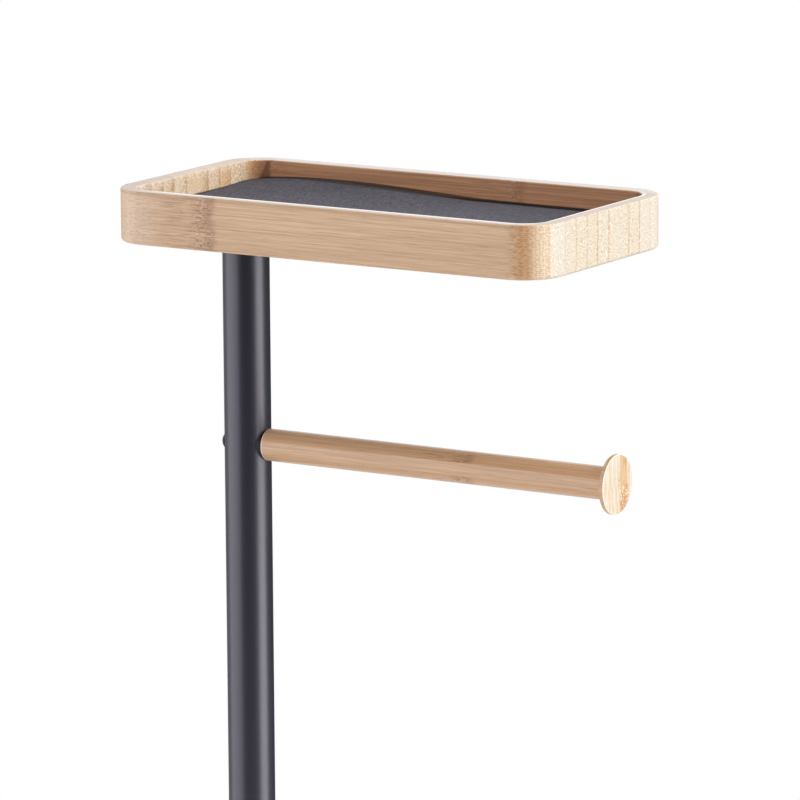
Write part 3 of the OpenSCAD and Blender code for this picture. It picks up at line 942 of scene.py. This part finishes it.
def mat_point(u, v, level, inset):
    """A point of the mat, its level from 0 at the underside to 1 on top, drawn in by inset.

    The rear edge is cut short towards the right, and the top is slightly wavy.
    """
    middle, half, thickness = (mat_lo + mat_hi) / 2, (mat_hi - mat_lo) / 2, mat_hi.z - mat_lo.z
    short_at_right, wave_drop, wave_h = 4.0 * MM, 0.1 * MM, 0.05 * MM
    px, py = on_rounded_plan(u, v, half, MAT_CORNER_R)
    px *= 1 - inset / half.x
    py *= 1 - inset / half.y
    x, y = middle.x + px, middle.y + py
    to_right = min(max((px + half.x) / (2 * half.x), 0), 1)
    y -= short_at_right * max(py / half.y, 0) ** 2 * to_right
    z = mat_lo.z + mat_lift(x, y) + level * thickness
    if level == 1:
        wave = math.sin(x / (9 * MM)) * math.cos(y / (7 * MM)) + math.sin((x + y) / (17 * MM))
        z += wave_h * wave - wave_drop
    return Vector((x, y, z))


def make_mat():
    """A loose felt mat with its left rear edge curled up: two sheets and the rounded rim between them."""
    half, thickness, grid_step = (mat_hi - mat_lo) / 2, mat_hi.z - mat_lo.z, 1.3 * MM
    columns, rows = (graded(side, MAT_CORNER_R, grid_step) for side in (half.x, half.y))
    front, rear = [(u, rows[0]) for u in columns], [(u, rows[-1]) for u in reversed(columns[:-1])]
    right, left = [(columns[-1], v) for v in rows[1:]], [(columns[0], v) for v in reversed(rows[1:-1])]
    outline = front + right + rear + left
    shell = Shell()
    bm = shell.bm
    edge_layer = bm.verts.layers.float.new(EDGE_ATTRIBUTE)
    sheets = []
    for level in (0, 1):
        grid = {(u, v): bm.verts.new(mat_point(u, v, level, MAT_EDGE_R)) for u in columns for v in rows}
        for (u, v), vert in grid.items():
            vert[edge_layer] = from_shaded_edge(u, v, half)
        for ua, ub in zip(columns, columns[1:]):
            for va, vb in zip(rows, rows[1:]):
                bm.faces.new((grid[ua, va], grid[ub, va], grid[ub, vb], grid[ua, vb]))
        sheets.append([grid[p] for p in outline])
    low, near = MAT_EDGE_R / thickness, 0.3
    levels = ((low * near, MAT_EDGE_R * near), (low, 0), (1 - low, 0), (1 - low * near, MAT_EDGE_R * near))
    rim = [[bm.verts.new(mat_point(u, v, *level)) for u, v in outline] for level in levels]
    shell.join([sheets[0], *rim, sheets[1]])
    mat = shell.piece("felt_mat", mat_felt, "mat", "tray_mat", body="mat")


def close_head(shell, face, neck, hexagons):
    """Closes a screw's head with its hexagon socket, and its neck."""
    mouth, bottom = shell.loft(hexagons)
    shell.fill(face, mouth)
    shell.fill(bottom)
    shell.fill(neck)


def countersunk_screw(name, node, radius, pitch, finish, slot, tip_down=True):
    """A countersunk socket screw on the post's axis, its head up or down."""
    lo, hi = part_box(node)
    length, head_r, rim = hi.z - lo.z, 2 * radius, 0.3 * MM
    turn = Matrix.Translation((POST_X, 0, lo.z)) if tip_down else (
        Matrix.Translation((POST_X, 0, hi.z)) @ Matrix.Rotation(math.pi, 4, "X"))
    key, key_depth, face_r = 1.24 * radius, 0.8 * radius, 0.84 * radius
    cone_z = length - rim - (head_r - radius)
    neck_r, neck_z = 0.98 * radius, cone_z - 1 * MM
    head = section((
        (radius / 2, neck_z, 0), (neck_r, neck_z, 0), (neck_r, cone_z, 0.1 * MM),
        (head_r, length - rim, 0.08 * MM), (head_r, length, 0.12 * MM), (face_r, length, 0)),
        hold=0.05 * MM)
    shell = Shell()
    neck, top = shell.turned(head, turn, 64)
    close_head(shell, top, neck, [hexagon(key, z, turn) for z in (length, length - key_depth)])
    shell.include(threaded_rod(radius, cone_z - 0.5 * MM, pitch, finish), turn)
    shell.piece(name, finish, slot, node)


def make_cup_washer():
    """A turned washer with a countersink for the tray screw's head."""
    lo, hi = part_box("tray_cup_washer")
    outer, head_r, hole_r = (hi.x - lo.x) / 2, 6 * MM, 3.2 * MM
    cone_z = hi.z - 0.3 * MM
    path = section((
        (head_r, hi.z - 0.1 * MM, 0), (head_r, hi.z, 0.15 * MM), (outer, hi.z, 0.4 * MM),
        (outer, lo.z, 0.2 * MM), (hole_r, lo.z, 0.1 * MM), (hole_r, cone_z - head_r + hole_r, 0.1 * MM),
        (head_r, cone_z, 0)), hold=0.08 * MM)
    shell = Shell()
    shell.loft([ring(p.x, p.y, 64, AT_POST) for p in path], closed=True)
    shell.piece("tray_screw_cup", zinc, "zinc_steel", "tray_cup_washer")


# Pieces of the post


def make_flange():
    """The turned flange under the tray, with its spigot and its bore."""
    lo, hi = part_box("post_top_flange")
    outer, bore = (hi.x - lo.x) / 2, 3 * MM
    plate_z = upper_hi.z
    path = section((
        (bore, lo.z, 0.3 * MM), (BORE_R, lo.z, 0.5 * MM), (BORE_R, plate_z, 0), (TUBE_R, plate_z, 0),
        (outer, plate_z, 0.5 * MM), (outer, hi.z, 0.2 * MM), (bore, hi.z, 0.3 * MM)), hold=0.1 * MM)
    shell = Shell()
    shell.loft([ring(p.x, p.y, 96, AT_POST) for p in path], closed=True)
    shell.piece("tray_flange", zinc, "zinc_steel", "post_top_flange")


def make_tube(name, node, holes=()):
    """A post tube with eased ends, and the screws' holes through both its walls."""
    lo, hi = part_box(node)
    ease, hold, beside_hole, steps = 0.4 * MM, 0.2 * MM, 3.4 * MM, 128
    outer = section((
        (BORE_R, lo.z, 0), (TUBE_R, lo.z, ease), (TUBE_R, hi.z, ease), (BORE_R, hi.z, 0)), hold)
    heights = [z + side * beside_hole for z in holes for side in (-1, 1)]
    cut = next(k for k, p in enumerate(outer) if p.y > (lo.z + hi.z) / 2)
    path = outer[:cut] + [Vector((TUBE_R, z)) for z in sorted(heights)] + outer[cut:]
    shell = Shell()
    rings = [ring(p.x, p.y, steps, AT_POST) for p in path]
    rings += [ring(BORE_R, z, steps, AT_POST) for z in sorted(heights, reverse=True)]
    shell.loft(rings, closed=True)
    tube = shell.piece(name, steel, "coated_steel", node)
    for z in holes:
        cutter = Shell()
        ends = cutter.loft([ring(SCREW_HOLE_R, h, 48, along_arm(z)) for h in (-2 * TUBE_R, 2 * TUBE_R)])
        for end in ends:
            cutter.fill(end)
        cut_through(tube, cutter)


def cut_through(piece, cutter):
    """Takes a shell out of a piece for good."""
    tool = bpy.data.objects.new("cutter", cutter.mesh("cutter"))
    bpy.context.scene.collection.objects.link(tool)
    modifier = piece.modifiers.new("cut", "BOOLEAN")
    modifier.operation, modifier.object, modifier.solver = "DIFFERENCE", tool, "EXACT"
    made = bpy.data.meshes.new_from_object(piece.evaluated_get(bpy.context.evaluated_depsgraph_get()))
    piece.modifiers.clear()
    made.name, piece.data = piece.name, made
    made.set_sharp_from_angle(angle=SHARP_ANGLE)
    bpy.data.objects.remove(tool)


# Arms


def along_arm(z, start=0.0):
    """Turns a shape's Z axis along the arm at height z, from the post's axis on."""
    return Matrix.Translation((POST_X + start, 0, z)) @ X_AXIS


def make_arm(side):
    """The turned dowel with its disc, the hollow rounding behind it, and the bore of its insert."""
    node = side + "_arm"
    lo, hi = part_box(node)
    z = (lo.z + hi.z) / 2
    start, length = lo.x - POST_X, hi.x - lo.x
    disc_r, dowel_r, insert_r, insert_len = (hi.z - lo.z) / 2, 5.5 * MM, 3.25 * MM, 12 * MM
    disc_w, fillet_r = 1.6 * MM, 1.3 * MM
    disc_back = length - disc_w
    path = section((
        (insert_r, insert_len, 0), (insert_r, 0, 0.2 * MM), (dowel_r, 0, 0.6 * MM),
        (dowel_r, disc_back, fillet_r), (disc_r, disc_back, 0.25 * MM), (disc_r, length, 0.3 * MM),
        (0.3 * MM, length, 0)), hold=0.08 * MM)
    shell = Shell()
    for end in shell.turned(path, along_arm(z, start)):
        shell.fill(end)
    shell.piece(side + "_dowel", arm_bamboo, "arm_bamboo", node)


def make_saddle(side):
    """The black spacer between the post's round wall and the arm's flat end."""
    node = side + "_arm_saddle"
    lo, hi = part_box(node)
    z, outer, hole = (lo.z + hi.z) / 2, (hi.z - lo.z) / 2, SCREW_HOLE_R
    steps, rounds, ease = 64, 6, 0.12 * MM

    def on_tube(radius):
        """A ring that lies on the post's wall."""
        points = ring(radius, 0, steps)
        return [Vector((POST_X + math.sqrt(TUBE_R ** 2 - p.y ** 2), p.y, z + p.x)) for p in points]

    def at_arm(radius, back=0.0):
        """A flat ring at the arm's end, or a little back from it."""
        return [Vector((hi.x - back, p.y, z + p.x)) for p in ring(radius, 0, steps)]

    loops = [on_tube(hole + (outer - hole) * k / rounds) for k in range(rounds + 1)]
    loops += [at_arm(outer, ease), at_arm(outer - ease / 3, ease / 3), at_arm(outer - ease), at_arm(hole)]
    shell = Shell()
    shell.loft(loops, closed=True)
    shell.piece(side + "_spacer", plastic, "black_plastic", node)


def make_arm_screw(side):
    """The button-headed screw that comes in from the post's far side."""
    node = side + "_arm_screw"
    lo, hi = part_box(node)
    z, start, head_r = (lo.z + hi.z) / 2, lo.x - POST_X, (hi.z - lo.z) / 2
    shank_r, pitch, head_h, key, key_depth = 2 * MM, 0.7 * MM, 1.9 * MM, 2.48 * MM, 1.5 * MM
    turn = along_arm(z, start)

    # The dome is part of a ball, from the socket's flat face to just above the head's rim
    dome_r, face_r, dome_steps = (head_r ** 2 + head_h ** 2) / (2 * head_h), 0.66 * key, 12
    face_z, rim_z = dome_r - math.sqrt(dome_r ** 2 - face_r ** 2), head_h - 0.25 * MM
    heights = [face_z + (rim_z - face_z) * (k / dome_steps) ** 1.4 for k in range(dome_steps + 1)]
    path = [Vector((math.sqrt(dome_r ** 2 - (dome_r - h) ** 2), h)) for h in heights]
    neck_z = head_h + 1 * MM
    path += section((
        (path[-1].x, path[-1].y, 0), (head_r, head_h, 0.1 * MM), (shank_r, head_h, 0.1 * MM),
        (shank_r * 0.98, neck_z, 0), (shank_r / 2, neck_z, 0)), 0.05 * MM)[1:]
    shell = Shell()
    top, neck = shell.turned(path, turn, 64)
    close_head(shell, top, neck, [hexagon(key, h, turn) for h in (face_z, face_z + key_depth)])
    thread_start = head_h + 0.5 * MM
    thread = threaded_rod(shank_r, hi.x - lo.x - thread_start, pitch, steel)
    shell.include(thread, along_arm(z, start + thread_start))
    shell.piece(side + "_button_screw", steel, "coated_steel", node)


# Base


def make_base():
    """The heavy base plate, with the post's round seat and the bolt's countersink."""
    lo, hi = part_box("base_plate")
    middle, half = (lo + hi) / 2, (hi - lo) / 2
    corner_r, corner_steps = 20 * MM, 32
    seat_r, seat_z = TUBE_R + 0.1 * MM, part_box("lower_tube")[0].z
    hole_r, head_r, rim = 4.2 * MM, 8 * MM, 0.3 * MM
    edge = section(((6 * MM, lo.z, 0), (0, lo.z, 0.5 * MM), (0, hi.z, 1.5 * MM), (6 * MM, hi.z, 0)))
    shell = Shell()
    below, top = shell.loft([
        rounded_rectangle(middle, half.x - p.x, half.y - p.x, corner_r - p.x, p.y, corner_steps)
        for p in edge])
    cone_z = lo.z + rim + head_r - hole_r
    bore = section((
        (seat_r + 0.8 * MM, hi.z, 0), (seat_r, hi.z, 0.25 * MM), (seat_r, seat_z, 0.1 * MM),
        (hole_r, seat_z, 0.1 * MM), (hole_r, cone_z, 0.05 * MM), (head_r, lo.z + rim, 0.05 * MM),
        (head_r, lo.z, 0.1 * MM), (head_r + 0.5 * MM, lo.z, 0)), hold=0.04 * MM)
    seat, sink = shell.turned(bore, AT_POST)
    shell.fill(top, seat)
    shell.fill(below, sink)
    shell.piece("base_slab", steel, "coated_steel", "base_plate")


def make_feet():
    """Four turned rubber feet with a grooved sole, spread by a geometry tree."""
    names = [f"foot_{row}_{side}" for row in ("front", "rear") for side in ("left", "right")]
    boxes = [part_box(n) for n in names]
    centres = [(lo + hi) / 2 for lo, hi in boxes]
    lo, hi = boxes[0]
    top_r = (hi.x - lo.x) / 2
    sole_r, centre_r, groove, groove_places = top_r - 0.5 * MM, 0.3 * MM, 0.3 * MM, (0.78, 0.5)
    corners = [(centre_r, hi.z, 0), (top_r, hi.z, 0.15 * MM), (sole_r, lo.z, 0.35 * MM)]
    for share in groove_places:
        radius = sole_r * share
        corners += [(radius + groove, lo.z, 0.05 * MM), (radius + groove, lo.z + groove, 0.05 * MM),
                    (radius - groove, lo.z + groove, 0.05 * MM), (radius - groove, lo.z, 0.05 * MM)]
    corners.append((centre_r, lo.z, 0))
    shell = Shell()
    for end in shell.turned(section(corners, 0.04 * MM), Matrix.Identity(4), 64):
        shell.fill(end)
    foot = shell.mesh("foot")
    span = [max(c[a] for c in centres) - min(c[a] for c in centres) for a in (0, 1)]
    holder_inputs = {"Along": span[0], "Across": span[1], "Material": rubber}
    made = run_tree(SPREAD_TREE, SPREAD_KEYS, holder_inputs, foot)
    made.set_sharp_from_angle(angle=SHARP_ANGLE)
    middle = sum(centres, Vector()) / 4
    made.transform(Matrix.Translation((middle.x, middle.y, 0)))
    add_piece("rubber_feet", made, rubber, "foot_rubber", *names)


def dress_inner_nodes():
    """Gives the CAD nodes that stay their finishes."""
    steel_nodes = (
        "tray_locating_pin", "upper_tube_socket", "joint_stud", "lower_tube_socket", "post_foot_plug")
    brass_nodes = ("upper_arm_insert", "lower_arm_insert")
    for finish, nodes in ((zinc, steel_nodes), (brass, brass_nodes)):
        for node in nodes:
            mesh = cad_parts[node].data
            mesh.materials.clear()
            mesh.materials.append(finish)


# The studio


def stand_round(target, azimuth, elevation, away):
    """The place and turn of a camera or lamp that faces a target. Azimuth 0 is the front, 90 the right."""
    a, e = math.radians(azimuth), math.radians(elevation)
    back = Vector((math.sin(a) * math.cos(e), -math.cos(a) * math.cos(e), math.sin(e)))
    turn = (-back).to_track_quat("-Z", "Y").to_matrix().to_4x4()
    return Matrix.Translation(target + back * away) @ turn


def make_camera():
    """The photograph's camera, worked out from the tray's corners and the post in it."""
    right_of_post, under_rim = 60.68 * MM, 70.67 * MM
    azimuth, elevation, roll, away = 31.414, 10.88, -0.3624, 1.92791
    data = bpy.data.cameras.new("camera")
    data.lens, data.sensor_width = 259.58, 36
    data.clip_start, data.clip_end = 0.05, 50
    camera = bpy.data.objects.new("camera", data)
    bpy.context.scene.collection.objects.link(camera)
    target = Vector((POST_X + right_of_post, 0, tray_hi.z - under_rim))
    level = stand_round(target, azimuth, elevation, away)
    camera.matrix_world = level @ Matrix.Rotation(math.radians(roll), 4, "Z")
    bpy.context.scene.camera = camera


def softbox(name, aim, azimuth, elevation, away, size, radiance, tint):
    """A flat lamp of even brightness that faces the object."""
    width, height = size
    data = bpy.data.lights.new(name, "AREA")
    data.shape, data.size, data.size_y = "RECTANGLE", width, height
    data.energy = radiance * math.pi * width * height
    data.color = tint
    lamp = bpy.data.objects.new(name, data)
    lamp.visible_camera = False
    bpy.context.scene.collection.objects.link(lamp)
    lamp.matrix_world = stand_round(aim, azimuth, elevation, away)


def make_lights():
    """A bright light on the right, a weaker and cooler one on the left, and one from high behind."""
    aim = Vector((0, 0, tray_lo.z))
    softbox("right_side", aim, azimuth=99, elevation=3, away=1.6, size=(1.2, 2.1), radiance=3.4,
            tint=(1.0, 0.985, 0.965))
    lower_aim = aim - Vector((0, 0, 0.12))
    softbox("left_fill", lower_aim, azimuth=-46, elevation=3, away=1.7, size=(2.5, 1.8),
            radiance=1.42, tint=(0.98, 0.97, 1.0))
    softbox("top_key", aim, azimuth=125, elevation=52, away=1.8, size=(1.4, 1.0), radiance=3.0,
            tint=(1.0, 1.0, 1.0))


def make_world():
    """Soft light, mostly from above, and a white wall far behind the object, which reflections see too."""
    world = bpy.data.worlds.new("studio")
    world.use_nodes = True
    bpy.context.scene.world = world
    world.node_tree.nodes.clear()
    g = Graph(world.node_tree)
    path = g.add("ShaderNodeLightPath").socket.node
    camera, through, glossy = (
        Wire(g, path.outputs[f"Is {kind} Ray"]) for kind in ("Camera", "Transmission", "Glossy"))
    seen = camera.math("MAXIMUM", through)
    x, y, z = g.split(g.add("ShaderNodeTexCoord", out="Generated"))
    wall = g.fade(z, 0.0, 0.08) * g.fade(z, 0.62, 0.40) * g.fade(y, 0.35, 0.70)
    wall_glow, dim_glow, left_glow = 1.15, 0.07, 0.24
    room = dim_glow + left_glow * g.fade(x, -0.45, -0.62)
    ambient = g.fade(z, -0.3, 0.3, 0.24, 0.62)
    reflected = room + (wall_glow - room) * wall
    strength = ambient + seen * (1 - ambient) + glossy * (reflected - ambient)
    shader = g.add("ShaderNodeBackground", None, {"Color": (1, 1, 1, 1), "Strength": strength})
    g.add("ShaderNodeOutputWorld", None, {"Surface": shader})


def make_floor():
    """A pale round floor that fades into the white round it."""
    radius, fade_start, fade_end = 1.25, 0.75, 1.225
    mesh = bpy.data.meshes.new("floor")
    bm = bmesh.new()
    bmesh.ops.create_circle(bm, cap_ends=True, segments=96, radius=radius)
    bm.to_mesh(mesh)
    bm.free()
    floor = bpy.data.objects.new("floor", mesh)
    bpy.context.scene.collection.objects.link(floor)
    material = bpy.data.materials.new("floor")
    material.use_nodes = True
    material.node_tree.nodes.clear()
    g = Graph(material.node_tree)
    x, y = g.split(g.add("ShaderNodeTexCoord", out="Object"))[:2]
    share = g.fade(distance(x, y), fade_start, fade_end)
    paint = g.add("ShaderNodeBsdfDiffuse", None, {"Color": linear(240, 239, 237)})
    clear = g.add("ShaderNodeBsdfTransparent")
    faded = g.add("ShaderNodeMixShader", None, {0: share, 1: paint, 2: clear})
    g.add("ShaderNodeOutputMaterial", None, {"Surface": faded})
    mesh.materials.append(material)


make_camera()
make_tray()
make_mat()
countersunk_screw("tray_socket_screw", "tray_screw", 3 * MM, 1 * MM, zinc, "zinc_steel")
make_cup_washer()
make_flange()
make_tube("post_upper", "upper_tube", ARM_HEIGHTS)
make_tube("post_lower", "lower_tube")
for side in ("upper", "lower"):
    make_arm(side)
    make_saddle(side)
    make_arm_screw(side)
make_base()
countersunk_screw("base_socket_bolt", "base_bolt", 4 * MM, 1.25 * MM, zinc, "zinc_steel", tip_down=False)
make_feet()
dress_inner_nodes()
make_world()
make_lights()
make_floor()
bpy.context.scene.view_settings.view_transform = "Standard"
